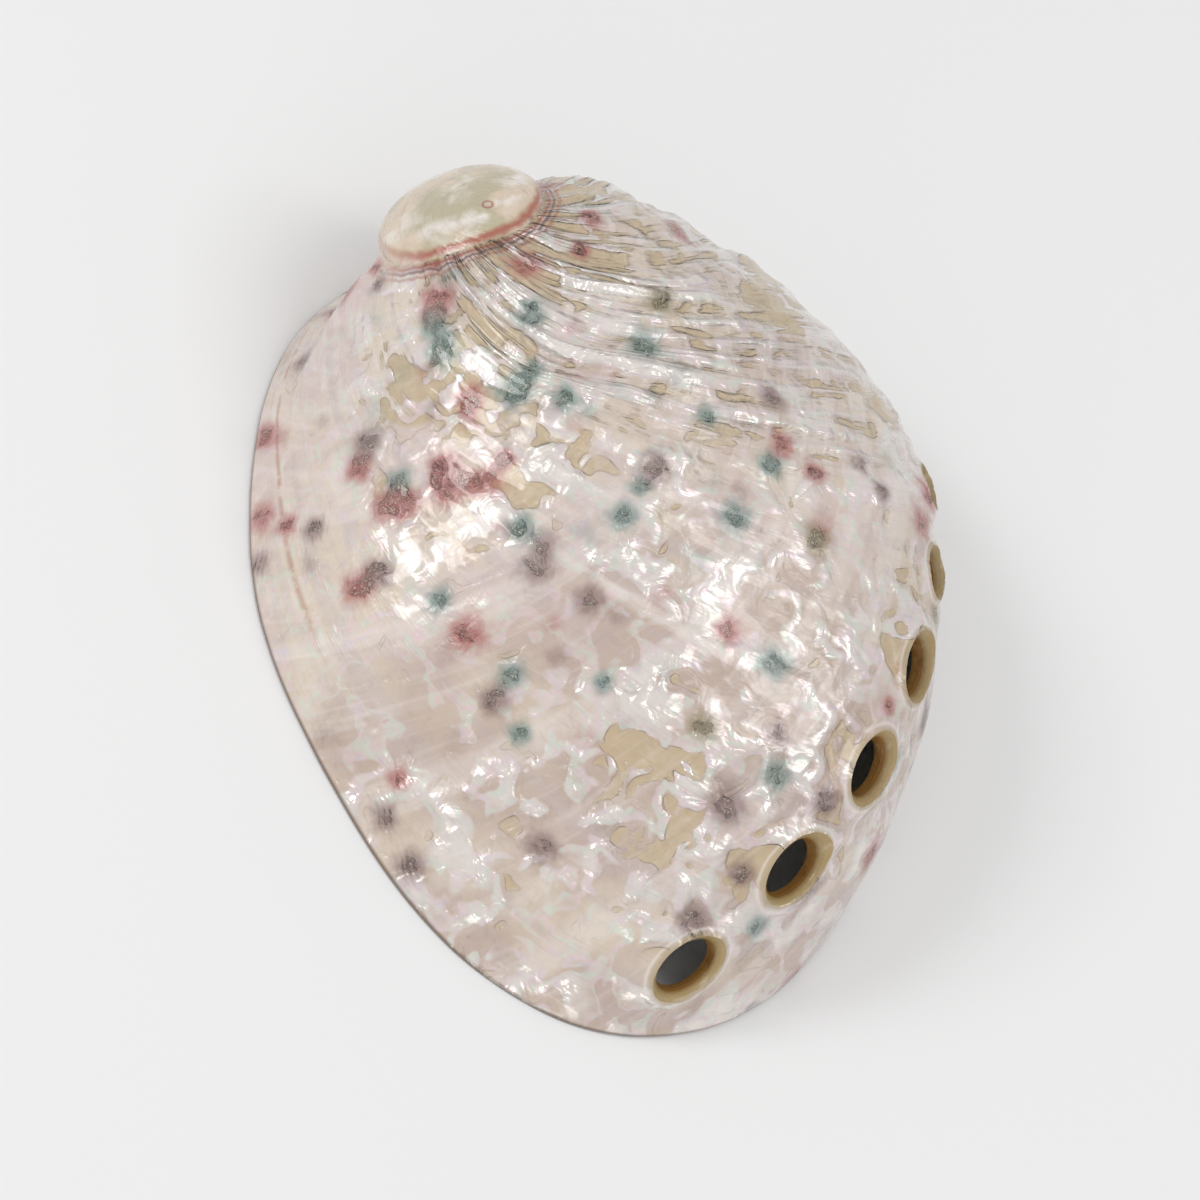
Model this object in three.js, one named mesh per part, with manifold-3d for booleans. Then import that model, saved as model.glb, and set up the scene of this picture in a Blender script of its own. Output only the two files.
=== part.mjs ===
// Polished abalone shell, lying open side down on its own rim.
// Millimetres. +X is the growing front, +Y the side with the row of holes, +Z up, rim on Z = 0.
//
// The animal builds the shell by adding to its rim, so every older rim is the newest rim turned about
// the coiling axis and shrunk. The walls follow that rule, and the coil closes in a low flat spire.

import * as THREE from 'three';
import Module from 'manifold-3d';
import { mergeVertices } from 'three/addons/utils/BufferGeometryUtils.js';

// Newest rim: a rounded oval in the floor plane, as a mean radius and the share of each harmonic of it.
const RIM_RADIUS = 71.65;
const RIM_COSINES = [-0.055, 0.102, 0.057, -0.013, 0.013];
const RIM_SINES = [0.193, -0.034, 0.050, 0.014, 0];

// Coiling axis and growth.
const APEX = new THREE.Vector3(-54.1, -31.2, 48.2);
const AXIS_TILT = THREE.MathUtils.degToRad(39.6);
const AXIS_HEADING = THREE.MathUtils.degToRad(-124.5);
const GROWTH_PER_RADIAN = 0.313;
const OLDEST_ANGLE = 1.6 * Math.PI;

// Middle of the opening, from where the whole skin is in plain sight.
const MIDDLE = new THREE.Vector3(0, 8, 0);

// Spire: the oldest whorls, worn to a low round cap.
const SPIRE_CENTRE = new THREE.Vector3(-55.4, -27.8, 31.3);
const SPIRE_NORMAL = new THREE.Vector3(-0.384, -0.642, 0.664).normalize();
const SPIRE_RADIUS = 14.8;
const SPIRE_HEIGHT = 5.8;
const SHOULDER_ANGLE = THREE.MathUtils.degToRad(34);
const SHOULDER_REACH = 74.5;
// Low swellings of the shoulder beside the spire: turn about the pole in degrees, height.
const SHOULDER_SWELLS = [[175, 3.0], [290, 2.0], [60, 0.9]];

// Foot of the wall beside the holes.
const FOOT_ANGLE = THREE.MathUtils.degToRad(8);
const FOOT_SPREAD = 0.2;

// Wall, and the shelf that thickens the rim on the side away from the holes.
const WALL = 2.6;
const SHELF = 4.5;
const SHELF_HEIGHT = 9;

// Row of breathing holes, newest first. Each is an oval, longest along the row.
const HOLE_LINE = 0.14;
const FIRST_HOLE_ANGLE = 0.18;
const HOLE_PITCH_ANGLE = 0.244;
const HOLE_LENGTHS = [11.6, 12, 11.6, 11, 8.6, 7.2];
const HOLE_SLENDERNESS = 0.66;

// How finely the skin is cut into flat faces.
const SPOKES = 84;
const RINGS = 34;
const SPIRE_RINGS = 7;
const SUTURE_STEP = THREE.MathUtils.degToRad(0.8);

const axis = new THREE.Vector3(
  Math.sin(AXIS_TILT) * Math.cos(AXIS_HEADING),
  Math.sin(AXIS_TILT) * Math.sin(AXIS_HEADING),
  Math.cos(AXIS_TILT),
);

function rimPoint(angle) {
  let share = 1;
  RIM_COSINES.forEach((cosine, i) => {
    share += cosine * Math.cos((i + 1) * angle) + RIM_SINES[i] * Math.sin((i + 1) * angle);
  });
  const radius = RIM_RADIUS * share;
  return new THREE.Vector3(radius * Math.cos(angle), radius * Math.sin(angle), 0);
}

// A point of the wall: the rim point at this angle, as it was when the coil was this far behind.
function wallPoint(coil, angle) {
  return rimPoint(angle)
    .sub(APEX)
    .applyAxisAngle(axis, coil)
    .multiplyScalar(Math.exp(-GROWTH_PER_RADIAN * coil))
    .add(APEX);
}

function wallTriangles() {
  const coils = 80;
  const angles = 108;
  const rows = [];
  for (let i = 0; i <= coils; i += 1) {
    const row = [];
    for (let j = 0; j < angles; j += 1) {
      row.push(wallPoint((OLDEST_ANGLE * i) / coils, (2 * Math.PI * j) / angles));
    }
    rows.push(row);
  }
  const triangles = [];
  for (let i = 0; i < coils; i += 1) {
    for (let j = 0; j < angles; j += 1) {
      const next = (j + 1) % angles;
      triangles.push([rows[i][j], rows[i][next], rows[i + 1][next]]);
      triangles.push([rows[i][j], rows[i + 1][next], rows[i + 1][j]]);
    }
  }
  return triangles;
}

// Spokes run from the spire over the dome to the floor; rings count along them.
const pole = SPIRE_CENTRE.clone().addScaledVector(SPIRE_NORMAL, -4).sub(MIDDLE).normalize();
const sideways = new THREE.Vector3(0, 0, 1).cross(pole).normalize();
const upward = pole.clone().cross(sideways);

function spokeHeading(spoke) {
  const turn = (2 * Math.PI * spoke) / SPOKES;
  return sideways.clone().multiplyScalar(Math.cos(turn)).addScaledVector(upward, Math.sin(turn));
}

function floorAngle(heading) {
  return Math.atan2(pole.z, -heading.z);
}

function directionAt(heading, angle) {
  return pole.clone().multiplyScalar(Math.cos(angle)).addScaledVector(heading, Math.sin(angle));
}

function farthestHit(direction, triangles) {
  const ray = new THREE.Ray(MIDDLE, direction);
  const hit = new THREE.Vector3();
  let reach = 0;
  triangles.forEach(([a, b, c]) => {
    if (ray.intersectTriangle(a, b, c, false, hit)) {
      reach = Math.max(reach, hit.distanceTo(MIDDLE));
    }
  });
  return reach;
}

// The wall on the side of the holes drops straight to the floor: below a low line it may spread only a little.
function reachOfWall(direction, triangles) {
  const reach = farthestHit(direction, triangles);
  const besideHoles = direction.y > Math.abs(direction.x);
  if (!besideHoles || direction.z > Math.sin(FOOT_ANGLE)) {
    return reach;
  }
  const level = new THREE.Vector3(direction.x, direction.y, 0).normalize();
  const raised = level.clone().multiplyScalar(Math.cos(FOOT_ANGLE));
  raised.z = Math.sin(FOOT_ANGLE);
  const above = raised.multiplyScalar(farthestHit(raised, triangles));
  const spread = Math.hypot(above.x, above.y) + FOOT_SPREAD * (above.z - reach * direction.z);
  return Math.min(reach, spread / direction.dot(level));
}

// Reach of the low round spire along a direction, or 0 where it is missed.
function reachOfSpire(direction) {
  const squash = (v) => {
    const along = v.dot(SPIRE_NORMAL);
    const across = v.clone().addScaledVector(SPIRE_NORMAL, -along).divideScalar(SPIRE_RADIUS);
    return across.addScaledVector(SPIRE_NORMAL, along / SPIRE_HEIGHT);
  };
  const start = squash(MIDDLE.clone().sub(SPIRE_CENTRE));
  const step = squash(direction);
  const a = step.lengthSq();
  const b = step.dot(start);
  const room = b * b - a * (start.lengthSq() - 1);
  return room > 0 ? (-b + Math.sqrt(room)) / a : 0;
}

// Smooth shoulder from the crown under the spire out to where the wall takes over.
function shoulder(share, edgeReach, edgeSlope, swell) {
  const crown = 2 * share ** 3 - 3 * share ** 2 + 1;
  const edge = 3 * share ** 2 - 2 * share ** 3;
  const rise = swell * 16 * share ** 2 * (1 - share) ** 2;
  return SHOULDER_REACH * crown + edgeReach * edge + edgeSlope * (share ** 3 - share ** 2) + rise;
}

// Height of the shoulder's swelling along one spoke.
function swellAt(turn) {
  return SHOULDER_SWELLS.reduce((sum, [degrees, height]) => {
    const nearness = Math.max(0, Math.cos(turn - THREE.MathUtils.degToRad(degrees)));
    return sum + height * nearness ** 2;
  }, 0);
}

function averagedAround(values, width) {
  const count = values.length;
  return values.map((_, i) => {
    let sum = 0;
    for (let j = -width; j <= width; j += 1) {
      sum += values[(i + j + count) % count];
    }
    return sum / (2 * width + 1);
  });
}

// Angle from the pole at which a spoke leaves the spire and comes down onto the dome.
function sutureAngle(heading, domeReach) {
  let inside = 0;
  let outside = SHOULDER_ANGLE / 2;
  for (let i = 0; i < 20; i += 1) {
    const angle = (inside + outside) / 2;
    if (reachOfSpire(directionAt(heading, angle)) > domeReach(angle)) {
      inside = angle;
    } else {
      outside = angle;
    }
  }
  return inside;
}

// Ring angles of a spoke: the first few fill the spire, the rest run from its edge to the floor.
function ringAngles(suture, floor) {
  const angles = [];
  for (let j = 1; j <= SPIRE_RINGS; j += 1) {
    angles.push(suture * Math.sin((Math.PI / 2) * (j / SPIRE_RINGS)));
  }
  const start = suture + SUTURE_STEP;
  const rest = RINGS - SPIRE_RINGS - 1;
  for (let j = 0; j <= rest; j += 1) {
    angles.push(start + (floor - start) * (j / rest) ** 1.15);
  }
  return angles;
}

// Direction, reach of the dome and reach of the skin, for every spoke and ring.
function domeSpokes() {
  const triangles = wallTriangles();
  const spokes = [];
  for (let i = 0; i < SPOKES; i += 1) {
    const heading = spokeHeading(i);
    const floor = floorAngle(heading);
    const edge = Math.min(SHOULDER_ANGLE, 0.8 * floor);
    const probe = 0.06 * floor;
    const reachAt = (angle) => reachOfWall(directionAt(heading, Math.min(angle, 0.998 * floor)), triangles);
    const edgeReach = reachAt(edge);
    const slope = (edge * (reachAt(edge + probe) - edgeReach)) / probe;
    spokes.push({ heading, floor, edge, reachAt, edgeReach, slope });
  }
  const slopes = averagedAround(spokes.map((spoke) => spoke.slope), 5);
  const reaches = averagedAround(spokes.map((spoke) => spoke.edgeReach), 1);
  const rimReaches = averagedAround(spokes.map((spoke) => spoke.reachAt(spoke.floor)), 1);
  const rows = spokes.map(({ heading, floor, edge, reachAt }, i) => {
    const swell = swellAt((2 * Math.PI * i) / SPOKES);
    const domeReach = (angle) => {
      const share = angle / edge;
      return share < 1 ? shoulder(share, reaches[i], slopes[i], swell) : reachAt(angle);
    };
    const suture = sutureAngle(heading, domeReach);
    const rings = ringAngles(suture, floor).map((angle, j) => {
      const direction = directionAt(heading, angle);
      const reach = domeReach(angle);
      return { direction, reach, skin: j < SPIRE_RINGS ? reachOfSpire(direction) : reach };
    });
    rings[RINGS - 1].reach = rimReaches[i];
    return rings;
  });
  for (let j = SPIRE_RINGS; j < RINGS; j += 1) {
    averagedAround(rows.map((rings) => rings[j].reach), 1).forEach((reach, i) => {
      rows[i][j].reach = reach;
      rows[i][j].skin = reach;
    });
  }
  return rows;
}

// Facing of the dome at a ring, from its neighbours.
function facing(spokes, i, j) {
  const at = (ring) => ring.direction.clone().multiplyScalar(ring.reach);
  const count = spokes.length;
  const across = at(spokes[(i + 1) % count][j]).sub(at(spokes[(i + count - 1) % count][j]));
  const inner = spokes[i][Math.max(j - 1, 0)];
  const outer = spokes[i][Math.min(j + 1, RINGS - 1)];
  const along = at(outer).sub(at(inner));
  return along.cross(across).normalize();
}

function shelfDepth(point) {
  const away = Math.max(0, -Math.sin(Math.atan2(point.y - MIDDLE.y, point.x)));
  return SHELF * away ** 2 * Math.max(0, 1 - point.z / SHELF_HEIGHT) ** 2;
}

function outerRows(spokes) {
  return spokes.map((rings) => rings.map(({ direction, skin }) => (
    direction.clone().multiplyScalar(skin).add(MIDDLE)
  )));
}

// Inside face: the dome set back by the wall, on every second ring.
function innerRows(spokes) {
  const rows = spokes.map(() => []);
  for (let j = 1; j < RINGS; j += 2) {
    const leans = spokes.map((rings, i) => Math.abs(facing(spokes, i, j).dot(rings[j].direction)));
    averagedAround(leans, 2).forEach((lean, i) => {
      const { direction, reach } = spokes[i][j];
      const outer = direction.clone().multiplyScalar(reach).add(MIDDLE);
      const depth = WALL / Math.max(0.4, lean) + shelfDepth(outer);
      rows[i].push(outer.addScaledVector(direction, -depth));
    });
  }
  return rows;
}

// Closed skin through rows of points that all start next to one pole point and end on the floor.
function closedBody(outer, inner) {
  const points = [];
  const faces = [];
  const add = (point) => points.push(point.x, point.y, point.z) / 3 - 1;
  const sheet = (rows, flip) => {
    const numbers = rows.map((row) => row.map(add));
    const centre = new THREE.Vector3();
    rows.forEach((row) => centre.addScaledVector(row[0], 1 / rows.length));
    const middle = add(centre);
    const face = (a, b, c) => faces.push(...(flip ? [a, c, b] : [a, b, c]));
    numbers.forEach((row, i) => {
      const next = numbers[(i + 1) % numbers.length];
      face(middle, row[0], next[0]);
      for (let j = 0; j < row.length - 1; j += 1) {
        face(row[j], row[j + 1], next[j + 1]);
        face(row[j], next[j + 1], next[j]);
      }
    });
    return numbers.map((row) => row[row.length - 1]);
  };
  const outerEdge = sheet(outer, false);
  const innerEdge = sheet(inner, true);
  outerEdge.forEach((corner, i) => {
    const next = (i + 1) % outerEdge.length;
    faces.push(corner, innerEdge[i], innerEdge[next]);
    faces.push(corner, innerEdge[next], outerEdge[next]);
  });
  const geometry = new THREE.BufferGeometry();
  geometry.setAttribute('position', new THREE.Float32BufferAttribute(points, 3));
  geometry.setIndex(faces);
  return geometry;
}

// Oval cutter for one breathing hole, square to the wall and a little wider outside.
function holeCutter(number) {
  const coil = FIRST_HOLE_ANGLE + number * HOLE_PITCH_ANGLE;
  const centre = wallPoint(coil, HOLE_LINE);
  const along = wallPoint(coil + 0.01, HOLE_LINE).sub(centre).normalize();
  const across = wallPoint(coil, HOLE_LINE + 0.01).sub(centre);
  const out = across.cross(along).normalize();
  if (out.dot(centre.clone().sub(MIDDLE)) < 0) {
    out.negate();
  }
  const length = HOLE_LENGTHS[number];
  const cutter = new THREE.CylinderGeometry(0.58 * length, 0.42 * length, 10, 24);
  cutter.scale(1, 1, HOLE_SLENDERNESS);
  const side = along.clone().cross(out);
  const place = new THREE.Matrix4().makeBasis(along, out, side).setPosition(centre);
  return cutter.applyMatrix4(place);
}

const wasm = await Module();
wasm.setup();

function toSolid(geometry) {
  const bare = geometry.clone();
  bare.deleteAttribute('normal');
  bare.deleteAttribute('uv');
  const merged = mergeVertices(bare, 1e-4);
  return new wasm.Manifold(new wasm.Mesh({
    numProp: 3,
    vertProperties: new Float32Array(merged.attributes.position.array),
    triVerts: new Uint32Array(merged.index.array),
  }));
}

function toGeometry(solid) {
  const mesh = solid.getMesh();
  const geometry = new THREE.BufferGeometry();
  geometry.setAttribute('position', new THREE.BufferAttribute(mesh.vertProperties, 3));
  geometry.setIndex(new THREE.BufferAttribute(mesh.triVerts, 1));
  return geometry;
}

function buildShell() {
  const spokes = domeSpokes();
  let solid = toSolid(closedBody(outerRows(spokes), innerRows(spokes)));
  HOLE_LENGTHS.forEach((_, number) => {
    solid = solid.subtract(toSolid(holeCutter(number)));
  });
  const geometry = toGeometry(solid);
  geometry.computeBoundingBox();
  const box = geometry.boundingBox;
  geometry.translate(-(box.min.x + box.max.x) / 2, -(box.min.y + box.max.y) / 2, -box.min.z);
  geometry.computeVertexNormals();
  return geometry;
}

const pearl = new THREE.MeshStandardMaterial({ color: 0xd7c8c2, roughness: 0.25, metalness: 0 });

const shell = new THREE.Mesh(buildShell(), pearl);
shell.name = 'shell';

const abalone = new THREE.Group();
abalone.add(shell);

export default abalone;
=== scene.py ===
"""Polished abalone shell on a pale studio floor.

The skin is grown the way the animal grows it: every older rim is the newest rim turned about the
coiling axis and shrunk. Each point of the skin therefore has an age (the coil angle since it was the
rim) and a rim angle, and the ribs, growth lines, holes and colour marks all follow those two numbers.
"""

import math

import bpy
import numpy as np
from mathutils import Matrix, Vector, kdtree, noise
from mathutils.bvhtree import BVHTree


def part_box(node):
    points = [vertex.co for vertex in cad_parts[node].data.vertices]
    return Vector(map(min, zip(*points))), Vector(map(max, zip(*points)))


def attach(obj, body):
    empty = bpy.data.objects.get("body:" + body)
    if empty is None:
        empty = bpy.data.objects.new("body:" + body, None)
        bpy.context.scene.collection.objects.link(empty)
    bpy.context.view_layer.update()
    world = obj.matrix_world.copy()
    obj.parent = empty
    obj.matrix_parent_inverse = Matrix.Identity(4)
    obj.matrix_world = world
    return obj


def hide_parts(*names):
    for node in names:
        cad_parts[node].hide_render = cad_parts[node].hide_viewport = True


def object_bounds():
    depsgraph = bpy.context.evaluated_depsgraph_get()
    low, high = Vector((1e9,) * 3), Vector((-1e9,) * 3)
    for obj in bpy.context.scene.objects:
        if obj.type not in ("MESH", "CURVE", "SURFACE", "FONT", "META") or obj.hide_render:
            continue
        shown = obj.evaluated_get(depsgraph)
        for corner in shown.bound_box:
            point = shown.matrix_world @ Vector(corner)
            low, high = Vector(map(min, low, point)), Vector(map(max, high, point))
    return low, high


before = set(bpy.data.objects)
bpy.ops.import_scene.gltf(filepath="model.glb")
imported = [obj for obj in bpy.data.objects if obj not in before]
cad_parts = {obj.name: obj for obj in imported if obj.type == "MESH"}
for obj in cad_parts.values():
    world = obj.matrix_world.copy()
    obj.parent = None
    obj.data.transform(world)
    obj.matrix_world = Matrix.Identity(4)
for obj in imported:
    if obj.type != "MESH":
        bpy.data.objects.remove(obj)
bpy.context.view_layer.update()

# Growth, in millimetres and radians; the same numbers as the solid.
RIM_RADIUS = 71.65
RIM_COSINES = (-0.055, 0.102, 0.057, -0.013, 0.013)
RIM_SINES = (0.193, -0.034, 0.050, 0.014, 0.0)
APEX = np.array((-54.1, -31.2, 48.2))
AXIS_TILT = math.radians(39.6)
AXIS_HEADING = math.radians(-124.5)
GROWTH = 0.313
OLDEST = 1.6 * math.pi
MIDDLE = np.array((0.0, 8.0, 0.0))

SPIRE_CENTRE = np.array((-55.4, -27.8, 31.3))
SPIRE_NORMAL = np.array((-0.384, -0.642, 0.664))
SPIRE_NORMAL /= np.linalg.norm(SPIRE_NORMAL)
SPIRE_RADIUS = 14.8
SPIRE_HEIGHT = 5.8
SPIRE_ACROSS = np.array((-0.30, 0.77, 0.57))
SEAM_HEADING = math.radians(-50)
SEAM_REACH = 40
TIP_DOT = (5.4, -6.3)
SHOULDER_ANGLE = math.radians(34)
SHOULDER_REACH = 74.5
SHOULDER_SWELLS = ((175, 3.0), (290, 2.0), (60, 0.9))
FOOT_ANGLE = math.radians(8)
FOOT_SPREAD = 0.2
WALL = 2.6
SHELF = 4.5
SHELF_HEIGHT = 9.0
RIM_CURL = 0.9

HOLE_LINE = 0.14
FIRST_HOLE = 0.18
HOLE_PITCH = 0.244
HOLE_LENGTHS = (11.6, 12.0, 11.6, 11.0, 8.6, 7.2)
SEALED_LENGTHS = (6.4, 5.6, 5.0, 4.4)
HOLE_SLENDERNESS = 0.66
HOLE_SIDES = 56
# Height over the wall in millimetres, and width as a share of the hole's own.
HOLE_PROFILE = (
    (6.0, 1.75), (1.6, 1.42), (0.9, 1.27), (0.35, 1.14), (-0.3, 1.05), (-1.0, 1.0),
    (-1.8, 0.96), (-2.5, 0.93), (-3.1, 0.92), (-3.6, 0.95), (-7.0, 1.3),
)

# The camera: heading of its right side, height, roll, and shift of its aim in metres.
CAMERA_HEADING = math.radians(56.5)
CAMERA_HEIGHT = math.radians(49.9)
CAMERA_ROLL = math.radians(41.0)
CAMERA_SHIFT = (-0.006, -0.0068)
CAMERA_DISTANCE = 1.8
FRAME_WIDTH = 0.205
SENSOR_WIDTH = 36

# Metres from the middle of the shell: aside, above and towards the camera; size and watts.
SOFT_LIGHTS = (
    ("key", (-0.55, 0.75, 0.9), (0.4, 0.4), 4.4),
    ("side", (0.9, 0.3, 0.7), (0.3, 0.8), 3),
    ("front", (-0.2, -0.9, 0.9), (0.8, 0.25), 2.5),
)
SKY_LIGHT = 0.62
FLOOR_REACH = 6.0

# How finely the skin is cut.
SPOKES = 400
SPIRE_RINGS = 24
DOME_RINGS = 146
RIM_RINGS = 4
INNER_STEP = 4
WALL_COILS = 260
WALL_ANGLES = 260
SHARP_ANGLE = math.radians(38)

AXIS = np.array((
    math.sin(AXIS_TILT) * math.cos(AXIS_HEADING),
    math.sin(AXIS_TILT) * math.sin(AXIS_HEADING),
    math.cos(AXIS_TILT),
))


def smooth(value, low, high):
    """0 below low, 1 above high, eased between."""
    share = np.clip((value - low) / (high - low), 0.0, 1.0)
    return share * share * (3.0 - 2.0 * share)


def wall_points(coil, angle):
    """Points of the wall at these ages and rim angles."""
    share = np.ones_like(angle)
    for i, (cosine, sine) in enumerate(zip(RIM_COSINES, RIM_SINES), start=1):
        share = share + cosine * np.cos(i * angle) + sine * np.sin(i * angle)
    radius = RIM_RADIUS * share
    arm = np.stack([radius * np.cos(angle), radius * np.sin(angle), 0 * angle], -1) - APEX
    turned = (
        arm * np.cos(coil)[..., None]
        + np.cross(AXIS, arm) * np.sin(coil)[..., None]
        + (arm @ AXIS)[..., None] * AXIS * (1 - np.cos(coil))[..., None]
    )
    return APEX + np.exp(-GROWTH * coil)[..., None] * turned


def growth_direction(age, angle):
    """Unit direction in which the wall grows older at one place."""
    here, older = (wall_points(np.array(a), np.array(angle)) for a in (age, age + 0.01))
    return (older - here) / np.linalg.norm(older - here)


def around(values, width):
    """Average over neighbouring spokes, which close on themselves."""
    total = sum(np.roll(values, shift, axis=0) for shift in range(-width, width + 1))
    return total / (2 * width + 1)


class Wall:
    """The grown wall as rays from the middle meet it."""

    def __init__(self):
        coil = np.linspace(0, OLDEST, WALL_COILS + 1)
        angle = np.linspace(0, 2 * math.pi, WALL_ANGLES, endpoint=False)
        self.coil_step = coil[1]
        self.angle_step = angle[1]
        self.points = wall_points(*np.meshgrid(coil, angle, indexing="ij"))
        faces = []
        for i in range(WALL_COILS):
            for j in range(WALL_ANGLES):
                k = (j + 1) % WALL_ANGLES
                a, b = i * WALL_ANGLES, (i + 1) * WALL_ANGLES
                faces.append((a + j, a + k, b + k, b + j))
        self.tree = BVHTree.FromPolygons(self.points.reshape(-1, 3).tolist(), faces)

    def cast(self, directions):
        """Reach, age and rim angle of the outermost wall along each direction."""
        flat = directions.reshape(-1, 3)
        hits = np.zeros_like(flat)
        index = np.zeros(len(flat), int)
        start = Vector(MIDDLE)
        for n, direction in enumerate(flat):
            ray = Vector(direction)
            hit, _, face, _ = self.tree.ray_cast(start + ray * 300.0, -ray)
            if hit is None:
                raise RuntimeError("a ray missed the wall")
            hits[n], index[n] = hit, face
        i, j = index // WALL_ANGLES, index % WALL_ANGLES
        corner = self.points[i, j]
        older = self.points[i + 1, j] - corner
        beside = self.points[i, (j + 1) % WALL_ANGLES] - corner
        offset = hits - corner
        oo, bb, ob = (older**2).sum(-1), (beside**2).sum(-1), (older * beside).sum(-1)
        po, pb = (offset * older).sum(-1), (offset * beside).sum(-1)
        scale = oo * bb - ob**2
        age = (i + (po * bb - pb * ob) / scale) * self.coil_step
        angle = (j + (pb * oo - po * ob) / scale) * self.angle_step
        angle = np.where(angle < 2.6, angle + 2 * math.pi, angle)
        reach = np.linalg.norm(hits - MIDDLE, axis=1)
        shape = directions.shape[:-1]
        return reach.reshape(shape), age.reshape(shape), angle.reshape(shape)

    def footed(self, directions):
        """As cast, but beside the holes the foot of the wall may spread only a little."""
        reach, age, angle = self.cast(directions)
        low = (directions[..., 1] > abs(directions[..., 0])) & (directions[..., 2] < math.sin(FOOT_ANGLE))
        if low.any():
            chosen = directions[low]
            level = chosen * (1, 1, 0)
            level /= np.linalg.norm(level, axis=1, keepdims=True)
            raised = level * math.cos(FOOT_ANGLE) + np.array((0, 0, math.sin(FOOT_ANGLE)))
            above = self.cast(raised)[0][:, None] * raised
            height = above[:, 2] - reach[low] * chosen[:, 2]
            spread = np.hypot(above[:, 0], above[:, 1]) + FOOT_SPREAD * height
            reach[low] = np.minimum(reach[low], spread / (chosen * level).sum(-1))
        return reach, age, angle


def spire_reach(directions):
    """Reach of the low round spire along each direction, or 0 where it is missed."""
    def squash(v):
        along = (v @ SPIRE_NORMAL)[..., None]
        return (v - along * SPIRE_NORMAL) / SPIRE_RADIUS + SPIRE_NORMAL * along / SPIRE_HEIGHT
    start, step = squash(MIDDLE - SPIRE_CENTRE), squash(directions)
    a, b = (step**2).sum(-1), step @ start
    room = b * b - a * ((start**2).sum() - 1)
    return np.where(room > 0, (np.sqrt(np.maximum(room, 0)) - b) / a, 0.0)


class Skin:
    """Rays, reaches and growth coordinates over spokes that run from the spire to the floor."""

    def __init__(self):
        wall = Wall()
        pole = SPIRE_CENTRE - 4 * SPIRE_NORMAL - MIDDLE
        self.pole = pole / np.linalg.norm(pole)
        sideways = np.cross((0, 0, 1), self.pole)
        sideways /= np.linalg.norm(sideways)
        upward = np.cross(self.pole, sideways)
        turn = 2 * math.pi * np.arange(SPOKES) / SPOKES
        self.heading = np.outer(np.cos(turn), sideways) + np.outer(np.sin(turn), upward)
        self.floor = np.arctan2(self.pole[2], -self.heading[:, 2])
        edge = np.minimum(SHOULDER_ANGLE, 0.8 * self.floor)
        probe = 0.06 * self.floor
        edge_reach, edge_age, edge_angle = wall.footed(self.direction(edge))
        beyond_reach, beyond_age, beyond_angle = wall.footed(self.direction(edge + probe))
        slope = around(edge * (beyond_reach - edge_reach) / probe, 25)
        angle_slope = around(np.clip((beyond_angle - edge_angle) / probe, -3, 3), 12)
        age_slope = around(np.clip((beyond_age - edge_age) / probe, -2.5, 2.5), 12)
        edge_reach = around(edge_reach, 5)

        swell = sum(
            height * np.maximum(0, np.cos(turn - math.radians(degrees))) ** 2
            for degrees, height in SHOULDER_SWELLS
        )

        def shoulder(angle):
            share = angle / edge
            crown = 2 * share**3 - 3 * share**2 + 1
            rise = swell * 16 * share**2 * (1 - share) ** 2
            hermite = SHOULDER_REACH * crown + edge_reach * (1 - crown) + slope * (share**3 - share**2)
            return hermite + rise

        inside, outside = np.zeros(SPOKES), np.full(SPOKES, SHOULDER_ANGLE / 2)
        for _ in range(24):
            guess = (inside + outside) / 2
            within = spire_reach(self.direction(guess)) > shoulder(guess)
            inside, outside = np.where(within, guess, inside), np.where(within, outside, guess)
        self.suture = inside

        columns = [inside * math.sin(math.pi / 2 * (j + 1) / SPIRE_RINGS) for j in range(SPIRE_RINGS)]
        start = inside + math.radians(0.25)
        last = self.floor * 0.985
        for j in range(DOME_RINGS):
            columns.append(start + (last - start) * (j / (DOME_RINGS - 1)) ** 1.12)
        for j in range(RIM_RINGS):
            columns.append(last + (self.floor - last) * (j + 1) / RIM_RINGS)
        self.angles = np.stack(columns, 1)
        self.directions = self.direction(self.angles)
        rings = self.angles.shape[1]

        self.reach = np.zeros((SPOKES, rings))
        self.age = np.zeros((SPOKES, rings))
        self.rim_angle = np.zeros((SPOKES, rings))
        for j in range(rings):
            angle = self.angles[:, j]
            near = angle < edge
            self.reach[:, j] = shoulder(angle)
            self.age[:, j] = edge_age + age_slope * (angle - edge)
            self.rim_angle[:, j] = edge_angle + angle_slope * (angle - edge)
            if not near.all():
                safe = np.minimum(angle, 0.998 * self.floor)
                found = wall.footed(self.direction(safe)[~near])
                self.reach[~near, j], self.age[~near, j], self.rim_angle[~near, j] = found
        self.reach[:, SPIRE_RINGS:] = around(self.reach, 4)[:, SPIRE_RINGS:]
        self.spire = spire_reach(self.directions)
        self.skin = self.reach.copy()
        self.skin[:, :SPIRE_RINGS] = self.spire[:, :SPIRE_RINGS]

    def direction(self, angle):
        angle = np.asarray(angle)[..., None]
        heading = self.heading if angle.ndim == 2 else self.heading[:, None, :]
        return self.pole * np.cos(angle) + heading * np.sin(angle)

    def lean(self):
        """Cosine between the skin's facing and the ray that meets it."""
        dome = self.directions * self.reach[..., None]
        across = np.roll(dome, -1, 0) - np.roll(dome, 1, 0)
        along = np.gradient(dome, axis=1)
        facing = np.cross(along, across)
        facing /= np.linalg.norm(facing, axis=-1, keepdims=True) + 1e-12
        return np.clip(abs((facing * self.directions).sum(-1)), 0.4, 1.0)


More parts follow.
